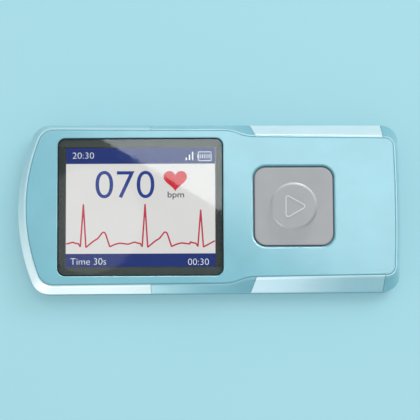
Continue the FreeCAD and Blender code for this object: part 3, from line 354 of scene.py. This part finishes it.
def board_laminate():
    """Green lacquer over copper, lighter and lower in patches where no copper lies beneath."""
    made = Finish("board_laminate", roughness=0.3)
    copper = made.spread(made.cells(1.6 * MM), 0, 1, start=0.32, end=0.38)
    made.set("Base Color", made.tint(copper, BOARD_LIGHT, BOARD_GREEN))
    made.set("Normal", made.relief(copper, 0.01 * MM))
    return made.material


def foam(name, colour):
    """Open foam with small pores."""
    made = Finish(name, roughness=0.9)
    pores = made.cells(0.25 * MM)
    made.set("Base Color", made.tint(pores, scaled(colour, 0.6), colour))
    made.set("Normal", made.relief(pores, 0.05 * MM))
    return made.material


def pouch_foil():
    """Crinkled aluminium pouch of the battery."""
    made = Finish("pouch_foil", metallic=1.0)
    folds = made.noise(3 * MM, detail=4.0)
    made.set("Base Color", made.tint(folds, FOIL_DARK, FOIL_LIGHT))
    made.set("Roughness", made.spread(folds, 0.28, 0.42))
    made.set("Normal", made.relief(folds, 0.06 * MM))
    return made.material


def dress_nodes():
    """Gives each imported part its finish."""
    dark = moulded("dark_plastic", PART_BLACK, roughness=0.45, grain=0.25 * MM,
                   depth=0.006 * MM, mottle=0.06).material
    ivory = moulded("ivory_plastic", IVORY, roughness=0.45, grain=0.3 * MM,
                    depth=0.005 * MM).material
    film = moulded("flex_film", FILM_ORANGE, roughness=0.3, grain=0.8 * MM,
                   depth=0.003 * MM, mottle=0.05).material
    sleeve = moulded("lead_sleeve", LEAD_RED, roughness=0.4, grain=0.2 * MM,
                     depth=0.004 * MM).material
    steel = sheet_metal("plated_steel", STEEL, roughness=0.3, across=0.3 * MM)
    tray = sheet_metal("backlight_metal", TRAY_METAL, roughness=0.35, across=0.4 * MM)
    brass = sheet_metal("spring_brass", BRASS, roughness=0.25, across=0.2 * MM)
    electrode = electrode_metal()
    finishes = {
        "rear_shell": case_plastic(), "rim_frame": rim_plastic(), "front_cover": cover_plastic(),
        "left_electrode": electrode, "upper_electrode": electrode, "lower_electrode": electrode,
        "window_lens": window_glass(), "lens_gasket": mask_rubber(),
        "display_panel": dark_glass(), "display_backlight": tray, "display_carrier": dark,
        "display_flex": film, "flex_socket": ivory, "start_key": key_plastic(),
        "key_guide": dark, "key_bumpers": foam("bumper_rubber", RUBBER_BLACK),
        "switch_body": dark, "switch_plunger": ivory, "main_board": board_laminate(),
        "processor": dark, "heart_amplifier": dark, "radio_shield": steel, "buzzer": dark,
        "usb_socket": steel, "left_contact": brass, "upper_contact": brass,
        "lower_contact": brass, "battery": pouch_foil(),
        "battery_pad": foam("pad_foam", FOAM_GREY), "battery_leads": sleeve,
        "battery_plug": ivory, "case_screws": steel,
    }
    for name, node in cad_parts.items():
        node.data.materials.clear()
        node.data.materials.append(finishes[name])


# ------------------------------------------------------------------ mesh building
def add_piece(name, corners, faces, material, body):
    """A mesh piece from corner points and faces, riding on a body."""
    mesh = bpy.data.meshes.new(name)
    mesh.from_pydata(corners, [], faces)
    tidy = bmesh.new()
    tidy.from_mesh(mesh)
    bmesh.ops.recalc_face_normals(tidy, faces=tidy.faces)
    tidy.to_mesh(mesh)
    tidy.free()
    mesh.materials.append(material)
    piece = bpy.data.objects.new(name, mesh)
    bpy.context.scene.collection.objects.link(piece)
    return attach(piece, body)


def add_prisms(name, outlines, bottom, top, material, body):
    """Upright prisms over flat outlines, all in one piece."""
    corners = []
    faces = []
    for outline in outlines:
        first = len(corners)
        count = len(outline)
        corners += [(x, y, bottom) for x, y in outline] + [(x, y, top) for x, y in outline]
        faces.append([first + i for i in range(count)])
        faces.append([first + count + i for i in range(count)])
        faces += [[first + i, first + (i + 1) % count, first + count + (i + 1) % count,
                   first + count + i] for i in range(count)]
    return add_piece(name, corners, faces, material, body)


def eased(points, reach):
    """An open line with each inner corner cut off at reach from it, so that it isn't a spike."""
    line = [Vector(points[0])]
    for before, here, after in zip(points, points[1:], points[2:]):
        here = Vector(here)
        line.append(here + (Vector(before) - here).normalized() * reach)
        line.append(here + (Vector(after) - here).normalized() * reach)
    return line + [Vector(points[-1])]


def side_points(points, width, closed):
    """The two sides of a line of some width, with mitred corners."""
    left, right = [], []
    count = len(points)
    for i, point in enumerate(points):
        here = Vector(point)
        before = Vector(points[i - 1]) if closed or i > 0 else None
        after = Vector(points[(i + 1) % count]) if closed or i < count - 1 else None
        way_in = (here - before).normalized() if before else (after - here).normalized()
        way_out = (after - here).normalized() if after else way_in
        across = Vector((-way_in.y - way_out.y, way_in.x + way_out.x))
        shift = across * (width / across.length_squared)
        left.append(here + shift)
        right.append(here - shift)
    return left, right


def add_line(name, points, width, bottom, top, material, body, closed=False, shoulder=0.0):
    """A line of some width along points; shoulder narrows its top face on each side."""
    rows = []
    for wide, height in ((width, bottom), (width - 2 * shoulder, top)):
        rows += [[(p.x, p.y, height) for p in side] for side in side_points(points, wide, closed)]
    low_left, low_right, high_left, high_right = rows
    count = len(points)
    corners = low_left + low_right + high_right + high_left
    last = count if closed else count - 1
    faces = []
    for i in range(last):
        j = (i + 1) % count
        for a in range(4):
            b = (a + 1) % 4
            faces.append([a * count + i, a * count + j, b * count + j, b * count + i])
    if not closed:
        faces += [[a * count for a in range(4)], [a * count + count - 1 for a in range(4)]]
    return add_piece(name, corners, faces, material, body)


def rounded_corners(points, radius, steps=8):
    """A closed outline with each corner replaced by an arc of the given radius."""
    outline = []
    count = len(points)
    for i in range(count):
        here = Vector(points[i])
        way_back = (Vector(points[i - 1]) - here).normalized()
        way_on = (Vector(points[(i + 1) % count]) - here).normalized()
        half_angle = way_back.angle(way_on) / 2
        centre = here + (way_back + way_on).normalized() * (radius / math.sin(half_angle))
        start = here + way_back * (radius / math.tan(half_angle)) - centre
        end = here + way_on * (radius / math.tan(half_angle)) - centre
        for step in range(steps + 1):
            outline.append(centre + start.slerp(end, step / steps) * radius)
    return outline


# ------------------------------------------------------------------ the picture
panel_low, panel_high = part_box("display_panel")
PICTURE_X = (panel_low.x + panel_high.x - PICTURE_POINTS[0] * POINT) / 2
PICTURE_Y = -PICTURE_POINTS[1] * POINT / 2
PICTURE_Z = panel_high.z


def on_picture(x, y):
    """A place on the picture, given in display points, as X and Y."""
    return PICTURE_X + x * POINT, PICTURE_Y + y * POINT


def rectangle(left, right, bottom, top):
    """The corners of an upright rectangle on the picture."""
    return [on_picture(left, bottom), on_picture(right, bottom), on_picture(right, top),
            on_picture(left, top)]


def layer(level):
    """Bottom and top of one layer of the picture."""
    return PICTURE_Z + level * LAYER, PICTURE_Z + (level + 1) * LAYER


def without_needles(mesh):
    """Takes away the needles that thinning leaves at the ends of some strokes of lettering.

    An outline corner sharper than NEEDLE_ANGLE moves onto the nearer of its two neighbours.
    """
    def place(index):
        return tuple(round(value, PLACE_DIGITS) for value in mesh.vertices[index].co.xy)

    neighbours = {}
    for side in [face for face in mesh.polygons if abs(face.normal.z) < 0.5]:
        for first, second in side.edge_keys:
            if place(first) != place(second):
                neighbours.setdefault(place(first), set()).add(place(second))
                neighbours.setdefault(place(second), set()).add(place(first))
    moves = {}
    for here, around in neighbours.items():
        ways = sorted((Vector(there) - Vector(here) for there in around), key=lambda w: w.length)
        if len(ways) == 2 and ways[0].angle(ways[1]) < NEEDLE_ANGLE:
            moves[here] = Vector(here) + ways[0]
    for vertex in mesh.vertices:
        target = moves.get(place(vertex.index))
        if target:
            vertex.co.xy = target
    shape = bmesh.new()
    shape.from_mesh(mesh)
    bmesh.ops.remove_doubles(shape, verts=shape.verts, dist=SAME_PLACE)
    bmesh.ops.dissolve_degenerate(shape, edges=shape.edges, dist=SAME_PLACE)
    shape.to_mesh(mesh)
    shape.free()


def add_words(name, lettering, material):
    """Lettering that exactly fills its space on the picture."""
    words, (left, right, bottom, top), weight = lettering
    curve = bpy.data.curves.new(name, "FONT")
    curve.body = words
    curve.extrude = 1.0
    curve.offset = weight
    source = bpy.data.objects.new(name, curve)
    bpy.context.scene.collection.objects.link(source)
    bpy.context.view_layer.update()
    mesh = bpy.data.meshes.new_from_object(source)
    bpy.data.objects.remove(source)
    without_needles(mesh)
    lows = [min(v.co[axis] for v in mesh.vertices) for axis in range(3)]
    highs = [max(v.co[axis] for v in mesh.vertices) for axis in range(3)]
    start = (*on_picture(left, bottom), layer(2)[0])
    end = (*on_picture(right, top), layer(2)[1])
    for vertex in mesh.vertices:
        vertex.co = [start[axis] + (vertex.co[axis] - lows[axis]) / (highs[axis] - lows[axis])
                     * (end[axis] - start[axis]) for axis in range(3)]
    mesh.update()
    mesh.name = name
    mesh.materials.clear()
    mesh.materials.append(material)
    piece = bpy.data.objects.new(name, mesh)
    bpy.context.scene.collection.objects.link(piece)
    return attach(piece, "case")


def add_picture_fields():
    """The white middle and the two dark bars."""
    width, height = PICTURE_POINTS
    add_prisms("picture_field", [rectangle(0, width, 0, height)], *layer(0),
               lit("picture_white", PANEL_WHITE), "case")
    bars = [rectangle(0, width, height - TOP_BAR_HEIGHT, height),
            rectangle(0, width, 0, BOTTOM_BAR_HEIGHT)]
    add_prisms("picture_bars", bars, *layer(1), lit("picture_navy", BAR_NAVY), "case")


def add_signal_bars(material):
    """Rising bars of the signal's strength."""
    bars = []
    for i in range(SIGNAL_BARS):
        left = SIGNAL_LEFT + SIGNAL_STEP * i
        bars.append(rectangle(left, left + SIGNAL_BAR_WIDTH, SIGNAL_BOTTOM,
                              SIGNAL_BOTTOM + SIGNAL_FIRST_HEIGHT + SIGNAL_RISE * i))
    add_prisms("picture_signal", bars, *layer(2), material, "case")


def add_battery_symbol(material):
    """A full battery: an outline with bars inside and a terminal at its left."""
    left, right, bottom, top = BATTERY_SPACE
    corners = rectangle(left, right, bottom, top)
    outline = rounded_corners(corners, BATTERY_CORNER * POINT, steps=4)
    add_line("picture_battery_outline", outline, BATTERY_LINE * POINT, *layer(2), material,
             "case", closed=True)
    bars = []
    for i in range(BATTERY_BARS):
        start = left + BATTERY_INSET + BATTERY_STEP * i
        bars.append(rectangle(start, start + BATTERY_BAR_WIDTH, bottom + BATTERY_END_INSET,
                              top - BATTERY_END_INSET))
    middle = (bottom + top) / 2
    bars.append(rectangle(left - BATTERY_TERMINAL_REACH, left, middle - BATTERY_TERMINAL_HALF,
                          middle + BATTERY_TERMINAL_HALF))
    add_prisms("picture_battery_charge", bars, *layer(2), material, "case")


def add_heart():
    """The heart beside the pulse figure, by the usual formula of the heart curve."""
    outline = []
    for step in range(HEART_STEPS):
        turn = 2 * math.pi * step / HEART_STEPS
        x = 16 * math.sin(turn) ** 3
        y = (13 * math.cos(turn) - 5 * math.cos(2 * turn) - 2 * math.cos(3 * turn)
             - math.cos(4 * turn))
        outline.append(on_picture(HEART_MIDDLE[0] + x * HEART_SCALE[0],
                                  HEART_MIDDLE[1] + y * HEART_SCALE[1]))
    add_prisms("picture_heart", [outline], *layer(2), lit("picture_red", HEART_RED), "case")


def add_trace():
    """The heart trace: three beats from edge to edge of the picture."""
    points = [(TRACE_INSET, TRACE_START_HEIGHT)]
    last = len(BEAT_PLACES) - 1
    for number, (place, peak) in enumerate(zip(BEAT_PLACES, BEAT_HEIGHTS)):
        after = BEAT_AFTER[:LAST_BEAT_SHOWN] if number == last else BEAT_AFTER
        points += [(place + x, y) for x, y in BEAT_BEFORE + ((0, peak),) + after]
    points[-1] = (PICTURE_POINTS[0] - TRACE_INSET, points[-1][1])
    line = eased([on_picture(x, y) for x, y in points], TRACE_CORNER * POINT)
    add_line("picture_trace", line, TRACE_WIDTH * POINT, *layer(1),
             lit("picture_trace_red", TRACE_RED), "case")


def add_picture():
    """All that the display shows."""
    letters = lit("picture_letters", LETTER_WHITE)
    digits = lit("picture_digits", DIGIT_BLUE)
    slate = lit("picture_slate", UNIT_SLATE)
    add_picture_fields()
    add_words("picture_clock", CLOCK, letters)
    add_signal_bars(letters)
    add_battery_symbol(letters)
    add_words("picture_pulse", PULSE, digits)
    add_heart()
    add_words("picture_unit", UNIT, slate)
    add_trace()
    add_words("picture_span", SPAN, letters)
    add_words("picture_elapsed", ELAPSED, letters)


def add_window_gap_shade():
    """Painted shade: a dark bead laid in the gap round the window, standing in for the gap's
    shadow.
    """
    low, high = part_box("window_lens")
    width = GAP_SHADE_REACH + GAP_SHADE_LAP
    out = (GAP_SHADE_REACH - GAP_SHADE_LAP) / 2
    left, right, bottom, top = low.x - out, high.x + out, low.y - out, high.y + out
    corners = [(left, bottom), (right, bottom), (right, top), (left, top)]
    # Painted shade: dark teal with little shine, standing in for the shadow in the window's gap.
    gap_paint = moulded("gap_shade_paint", GAP_SHADE_TEAL, roughness=0.7, grain=0.3 * MM,
                     depth=0.002 * MM, mottle=0.1)
    gap_paint.set("Specular IOR Level", GAP_SHADE_SHINE)
    piece = add_line("window_gap_shade", rounded_corners(corners, WINDOW_CORNER + out), width,
                     high.z - GAP_SHADE_DEPTH, high.z - GAP_SHADE_SINK, gap_paint.material, "case",
                     closed=True)


# ------------------------------------------------------------------ the key
def add_play_mark():
    """The raised line of a play mark on the key's disc."""
    key_low, key_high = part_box("start_key")
    middle_x = (key_low.x + key_high.x) / 2
    middle_y = (key_low.y + key_high.y) / 2 - MARK_DROP
    corners = [(middle_x + MARK_LEFT, middle_y - MARK_HALF),
               (middle_x + MARK_RIGHT, middle_y),
               (middle_x + MARK_LEFT, middle_y + MARK_HALF)]
    material = moulded("mark_plastic", MARK_GREY, roughness=0.4, grain=0.3 * MM,
                       depth=0.003 * MM).material
    piece = add_line("play_mark", rounded_corners(corners, MARK_CORNER), MARK_LINE,
                     key_high.z - MARK_SINK, key_high.z + MARK_HEIGHT, material, "key",
                     closed=True, shoulder=MARK_SHOULDER)


# ------------------------------------------------------------------ floor, lamps and camera
FLOOR_SIZE = 4.0
FLOOR_DROP = 0.02 * MM       # the floor lies this much below the case
FLOOR_GLOW = 0.38            # share of its colour that glows for the camera and mirrors
FLOOR_MOTTLE = 0.002
CAMERA_PLACE = Vector((-5.18, -45.6, 433.7)) * MM
CAMERA_TURN = (6.08, -0.69, -0.30)   # degrees
CAMERA_LENS = 136.6
CAMERA_SENSOR = 36.0
# Each lamp's level is the light that it gives a surface which faces it, where 1 in all shows a
# colour as it is written.
SOFTBOX_PLACE = Vector((42.0, 122.0, 614.0)) * MM
SOFTBOX_SIZE = (300 * MM, 130 * MM)
SOFTBOX_TURN = -31.3                 # degrees
SOFTBOX_LEVEL = 0.185
SOFTBOX_COLOUR = (0.92, 1.0, 1.0)
CEILING_LAMP_PLACE = Vector((-70.0, 56.0, 614.0)) * MM
CEILING_LAMP_RADIUS = 34 * MM
CEILING_LAMP_LEVEL = 0.0032
KEY_LAMP_PLACE = Vector((320.0, 270.0, 620.0)) * MM
KEY_LAMP_SIZE = (320 * MM, 320 * MM)
KEY_LAMP_LEVEL = 0.24
WORLD_LEVEL = 0.64
WORLD_COLOUR = (0.98, 1.0, 1.0, 1.0)
SPOT_RADIUS = 8 * MM
WHITE_LIGHT = (1.0, 1.0, 1.0)
LEFT_LIGHT = (1.0, 0.55, 0.45)
BACK_LIGHT = (1.0, 0.54, 0.46)
FINGER_LIGHT = (1.0, 0.64, 0.62)


def floor_paper():
    """Pale paper; what the camera and mirrors see of it also glows, which lightens its shadow."""
    made = Finish("floor_paper", roughness=0.95)
    made.set("Specular IOR Level", 0.0)
    paper = made.tint(made.noise(60 * MM), scaled(FLOOR_BLUE, 1 - FLOOR_MOTTLE),
                      scaled(FLOOR_BLUE, 1 + FLOOR_MOTTLE))
    made.set("Base Color", paper)
    glow = made.nodes.new("ShaderNodeEmission")
    made.feed(glow.inputs["Color"], paper)
    rays = made.nodes.new("ShaderNodeLightPath")
    seen = None
    for name in ("Is Camera Ray", "Is Glossy Ray", "Is Transmission Ray"):
        seen = made.math("MAXIMUM", seen, rays.outputs[name]) if seen else rays.outputs[name]
    mix = made.nodes.new("ShaderNodeMixShader")
    made.feed(mix.inputs["Fac"], made.math("MULTIPLY", seen, FLOOR_GLOW))
    made.feed(mix.inputs[1], made.shader.outputs["BSDF"])
    made.feed(mix.inputs[2], glow.outputs["Emission"])
    made.feed(made.nodes["Material Output"].inputs["Surface"], mix.outputs["Shader"])
    return made.material


def add_floor():
    """The plain floor that the object lies on."""
    mesh = bpy.data.meshes.new("floor")
    half = FLOOR_SIZE / 2
    mesh.from_pydata([(-half, -half, -FLOOR_DROP), (half, -half, -FLOOR_DROP),
                      (half, half, -FLOOR_DROP), (-half, half, -FLOOR_DROP)], [], [(0, 1, 2, 3)])
    mesh.materials.append(floor_paper())
    floor = bpy.data.objects.new("floor", mesh)
    bpy.context.scene.collection.objects.link(floor)


def place_lamp(name, lamp, place, aim):
    """Puts a lamp at its place, facing a point, and returns its object."""
    holder = bpy.data.objects.new(name, lamp)
    holder.location = place
    holder.rotation_euler = (aim - place).to_track_quat("-Z", "Y").to_euler()
    bpy.context.scene.collection.objects.link(holder)
    return holder


def add_lamp(name, place, size, level, colour=WHITE_LIGHT):
    """A rectangular lamp that faces the middle of the object."""
    lamp = bpy.data.lights.new(name, "AREA")
    lamp.shape = "RECTANGLE"
    lamp.size, lamp.size_y = size
    lamp.color = colour
    lamp.energy = level * math.pi ** 2 * place.length_squared
    return place_lamp(name, lamp, place, Vector())


def add_softbox():
    """The lamp overhead, level with the floor, that the window and the face mirror."""
    softbox = add_lamp("softbox", SOFTBOX_PLACE, SOFTBOX_SIZE, SOFTBOX_LEVEL, SOFTBOX_COLOUR)
    softbox.rotation_euler = (0, 0, math.radians(SOFTBOX_TURN))


def add_ceiling_lamp():
    """A dim round lamp that shows faintly in the window's lower left."""
    lamp = bpy.data.lights.new("ceiling_lamp", "AREA")
    lamp.shape = "DISK"
    lamp.size = 2 * CEILING_LAMP_RADIUS
    lamp.energy = CEILING_LAMP_LEVEL * math.pi ** 2 * CEILING_LAMP_PLACE.length_squared
    holder = place_lamp("ceiling_lamp", lamp, CEILING_LAMP_PLACE, Vector())
    holder.rotation_euler = (0, 0, 0)


def add_spot(name, place, aim, cone, colour, level):
    """A spot with a wholly soft edge."""
    lamp = bpy.data.lights.new(name, "SPOT")
    lamp.spot_size = math.radians(cone)
    lamp.spot_blend = 1.0
    lamp.shadow_soft_size = SPOT_RADIUS
    lamp.color = colour
    lamp.energy = level * 4 * math.pi ** 2 * (aim - place).length_squared
    return place_lamp(name, lamp, place, aim)


def light_only(lamp, part):
    """Keeps a lamp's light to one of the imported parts."""
    receivers = bpy.data.collections.new(lamp.name + "_receivers")
    receivers.objects.link(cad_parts[part])
    lamp.light_linking.receiver_collection = receivers


def add_part_lamp(name, part, place, size, level, colour=WHITE_LIGHT, only_mirrored=False):
    """A rectangular lamp that lights one part; its place and size are in millimetres."""
    lamp = add_lamp(name, Vector(place) * MM, [side * MM for side in size], level, colour)
    lamp.visible_diffuse = not only_mirrored
    light_only(lamp, part)


def add_part_spot(name, part, place, aim, cone, level, colour):
    """A spot that lights one part; its place and aim are in millimetres."""
    lamp = add_spot(name, Vector(place) * MM, Vector(aim) * MM, cone, colour, level)
    light_only(lamp, part)


def add_rim_lamps():
    """Warm lamps that pick out the slopes of the electrodes and of the rim between them."""
    add_part_lamp("back_lamp", "upper_electrode", place=(40.0, 520.0, 60.0),
                  size=(200.0, 60.0), level=0.56, colour=BACK_LIGHT)
    add_part_spot("left_lamp", "left_electrode", place=(-290.0, -485.0, 60.0),
                  aim=(-38.0, -26.0, 8.0), cone=7.8, level=2.1, colour=LEFT_LIGHT)
    add_part_spot("rim_lamp", "rim_frame", place=(-160.0, -545.0, 60.0),
                  aim=(-50.0, -26.0, 8.0), cone=11.0, level=2.7, colour=LEFT_LIGHT)
    add_part_spot("finger_lamp", "lower_electrode", place=(-60.0, -500.0, 120.0),
                  aim=(0.0, -22.0, 10.0), cone=8.6, level=0.88, colour=FINGER_LIGHT)


def add_key_lamps():
    """Low lamps that show the edge of the key's disc, from the far right and the near left."""
    add_part_lamp("key_edge_lamp", "start_key", place=(190.0, 550.0, 60.0),
                  size=(160.0, 50.0), level=1.35)
    add_part_lamp("key_front_lamp", "start_key", place=(-350.0, -440.0, 60.0),
                  size=(160.0, 50.0), level=0.65)


def add_bevel_lamps():
    """Lamps that the shallow bevels round the window and the key mirror.

    The two corner lamps are large and bright beside the others, so they only show as mirrored.
    """
    add_part_lamp("far_bevel_lamp", "front_cover", place=(0.0, 462.0, 378.0),
                  size=(200.0, 30.0), level=0.085)
    add_part_lamp("right_bevel_lamp", "front_cover", place=(440.0, 65.0, 412.0),
                  size=(60.0, 160.0), level=0.065)
    add_part_lamp("left_bevel_lamp", "front_cover", place=(-400.0, 65.0, 440.0),
                  size=(70.0, 70.0), level=0.02)
    add_part_lamp("far_corner_lamp", "front_cover", place=(209.0, 410.0, 395.0),
                  size=(240.0, 45.0), level=0.24, only_mirrored=True)
    add_part_lamp("right_corner_lamp", "front_cover", place=(386.0, 250.0, 395.0),
                  size=(240.0, 45.0), level=0.24, only_mirrored=True)


def add_world():
    """Even light from all sides."""
    world = bpy.data.worlds.new("studio")
    bpy.context.scene.world = world
    world.use_nodes = True
    background = world.node_tree.nodes["Background"]
    background.inputs["Color"].default_value = WORLD_COLOUR
    background.inputs["Strength"].default_value = WORLD_LEVEL


def add_camera():
    """The photo's view, almost straight down."""
    data = bpy.data.cameras.new("camera")
    data.lens = CAMERA_LENS
    data.sensor_width = CAMERA_SENSOR
    camera = bpy.data.objects.new("camera", data)
    camera.location = CAMERA_PLACE
    camera.rotation_euler = [math.radians(angle) for angle in CAMERA_TURN]
    bpy.context.scene.collection.objects.link(camera)
    bpy.context.scene.camera = camera


dress_nodes()
add_picture()
add_window_gap_shade()
add_play_mark()
add_floor()
add_softbox()
add_ceiling_lamp()
add_lamp("key_lamp", KEY_LAMP_PLACE, KEY_LAMP_SIZE, KEY_LAMP_LEVEL)
add_rim_lamps()
add_key_lamps()
add_bevel_lamps()
add_world()
add_camera()
bpy.context.scene.view_settings.view_transform = "Standard"
